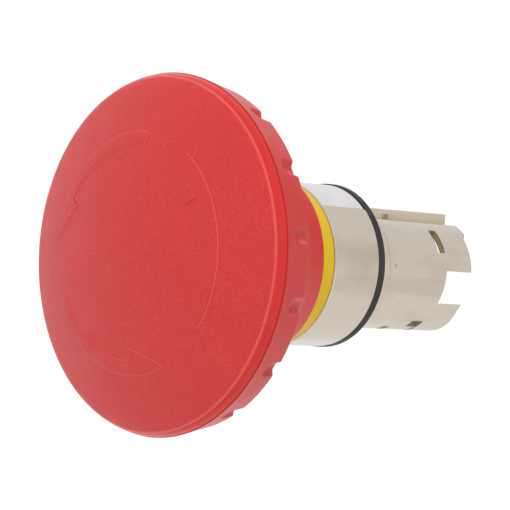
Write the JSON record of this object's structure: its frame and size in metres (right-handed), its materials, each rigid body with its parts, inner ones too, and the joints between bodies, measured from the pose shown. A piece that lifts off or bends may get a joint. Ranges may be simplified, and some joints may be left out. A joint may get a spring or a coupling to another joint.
{
  "type": "emergency stop button head",
  "caption": "Red mushroom emergency-stop head that latches when pushed and releases by turning, with a metal bezel, gasket and keyed panel shank.",
  "frame": {"origin": "on the button's axis, at the mounting face where the gasket meets the panel's front", "axes": "+Y along the axis, into the panel; -Y towards the user; +Z towards the locating key"},
  "size_m": [0.0616, 0.0781, 0.0616],
  "materials": {
    "red_plastic": "moulded, fine spark-eroded grain, satin rim",
    "yellow_plastic": "moulded, satin",
    "plated_zinc": "nickel-plated die casting, satin",
    "steel": "turned, fine",
    "brass": "turned",
    "black_rubber": "matt",
    "black_plastic": "moulded"
  },
  "bodies": {
    "root": {"bezel": "plated_zinc", "shank_body": "plated_zinc", "panel_gasket": "black_rubber", "flange_o_ring": "black_rubber", "yellow_ring": "yellow_plastic", "guide_bush": "black_plastic", "wiper_seal": "black_rubber", "latch_cage": "black_plastic", "latch_spring_right": "steel", "latch_spring_left": "steel", "twist_spring": "steel", "return_spring": "steel", "spring_seat": "black_plastic", "seat_circlip": "steel", "lock_sleeve": "plated_zinc"},
    "pusher": {"pusher": "black_plastic", "thrust_washer": "brass"},
    "mushroom": {"mushroom_cap": "red_plastic", "mushroom_back": "red_plastic", "spindle_hub": "brass", "hub_pin": "steel", "spindle": "steel", "drive_pin": "steel", "spindle_circlip": "steel"},
    "latch_right": {"latch_slider_right": "steel"},
    "latch_left": {"latch_slider_left": "steel"},
    "cam": {"release_cam": "plated_zinc"}
  },
  "joints": [
    {"name": "push", "type": "slide", "parent": "root", "child": "pusher", "axis": [0, 1, 0], "range_m": [0, 0.004], "stiffness_N_per_m": 1500, "springref_m": -0.002, "deforming": ["return_spring"]},
    {"name": "turn_to_release", "type": "hinge", "parent": "pusher", "child": "mushroom", "pos_m": [0, 0, 0], "axis": [0, -1, 0], "range_deg": [0, 30], "stiffness_Nm_per_rad": 0.15, "springref_deg": -20.05},
    {"name": "latch_right_slide", "type": "slide", "parent": "root", "child": "latch_right", "axis": [-1, 0, 0], "range_m": [0, 0.0008], "deforming": ["latch_spring_right"]},
    {"name": "latch_left_slide", "type": "slide", "parent": "root", "child": "latch_left", "axis": [1, 0, 0], "range_m": [0, 0.0008], "deforming": ["latch_spring_left"]},
    {"name": "cam_turn", "type": "hinge", "parent": "root", "child": "cam", "pos_m": [0, 0, 0], "axis": [0, -1, 0], "range_deg": [0, 30]}
  ],
  "couplings": [
    {"joint": "latch_right_slide", "follows": "push", "ratio": 0.2},
    {"joint": "latch_left_slide", "follows": "push", "ratio": 0.2},
    {"joint": "cam_turn", "follows": "turn_to_release", "ratio": 1}
  ]
}
